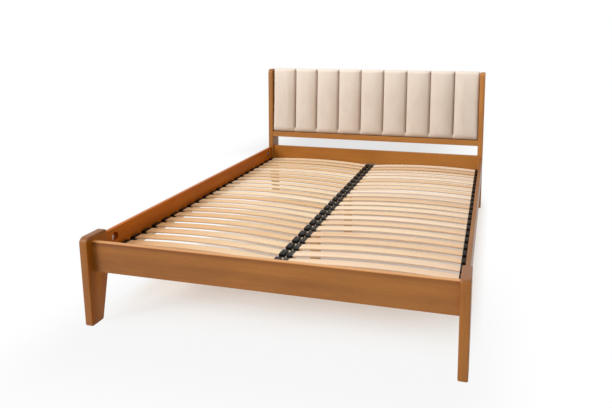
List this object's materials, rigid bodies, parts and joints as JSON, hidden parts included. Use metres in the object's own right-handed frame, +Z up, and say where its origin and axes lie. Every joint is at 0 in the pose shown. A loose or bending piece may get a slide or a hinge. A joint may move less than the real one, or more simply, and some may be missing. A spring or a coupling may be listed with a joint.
{
  "type": "double bed",
  "caption": "Wooden bed frame with tapered plank legs, slim side rails, bowed slats in end caps along a middle beam, and a leaning headboard padded in upright channels.",
  "frame": {"origin": "on the floor, under the middle of the frame's bounding box", "axes": "+Z up, +Y towards the headboard, +X to the right of someone who stands at the foot and looks at the headboard"},
  "size_m": [1.678, 2.187, 1.0167],
  "materials": {
    "stained_beech": "stained beech under satin lacquer",
    "slat_birch": "pale laminated birch, thin clear lacquer",
    "softwood": "planed, untreated",
    "plywood": "sanded plywood",
    "dowel_beech": "untreated beech",
    "upholstery": "short-pile beige velour over foam",
    "black_plastic": "moulded, slightly satin",
    "glide_plastic": "hard plastic",
    "zinc_steel": "zinc-plated"
  },
  "bodies": {
    "root": {"front_leg_left": "stained_beech", "front_leg_right": "stained_beech", "front_rail": "stained_beech", "side_rail_left": "stained_beech", "side_rail_right": "stained_beech", "head_post_left": "stained_beech", "head_post_right": "stained_beech", "head_crossrail": "stained_beech", "headboard_lower_rail": "stained_beech", "headboard_top_rail": "softwood", "headboard_panel": "plywood", "headboard_pad": "upholstery", "slat_batten_left": "softwood", "slat_batten_right": "softwood", "middle_beam": "softwood", "middle_leg_front": "softwood", "middle_leg_head": "softwood", "middle_leg_plates": "zinc_steel", "beam_hanger_front": "zinc_steel", "beam_hanger_head": "zinc_steel", "slat_pair_01": "slat_birch", "slat_pair_02": "slat_birch", "slat_pair_03": "slat_birch", "slat_pair_04": "slat_birch", "slat_pair_05": "slat_birch", "slat_pair_06": "slat_birch", "slat_pair_07": "slat_birch", "slat_pair_08": "slat_birch", "slat_pair_09": "slat_birch", "slat_pair_10": "slat_birch", "slat_pair_11": "slat_birch", "slat_pair_12": "slat_birch", "slat_pair_13": "slat_birch", "slat_pair_14": "slat_birch", "slat_pair_15": "slat_birch", "slat_pair_16": "slat_birch", "slat_pair_17": "slat_birch", "slat_pair_18": "slat_birch", "slat_pair_19": "slat_birch", "slat_pair_20": "slat_birch", "slat_pair_21": "slat_birch", "slat_pair_22": "slat_birch", "slat_pair_23": "slat_birch", "side_caps_left": "black_plastic", "side_caps_right": "black_plastic", "middle_caps_left": "black_plastic", "middle_caps_right": "black_plastic", "bed_bolts": "zinc_steel", "half_moon_washers": "zinc_steel", "threaded_inserts": "zinc_steel", "side_rail_dowels": "dowel_beech", "front_rail_dowels": "dowel_beech", "headboard_dowels": "dowel_beech", "batten_screws": "zinc_steel", "hanger_screws": "zinc_steel", "middle_leg_screws": "zinc_steel", "panel_screws": "zinc_steel", "floor_glides": "glide_plastic"}
  },
  "joints": []
}
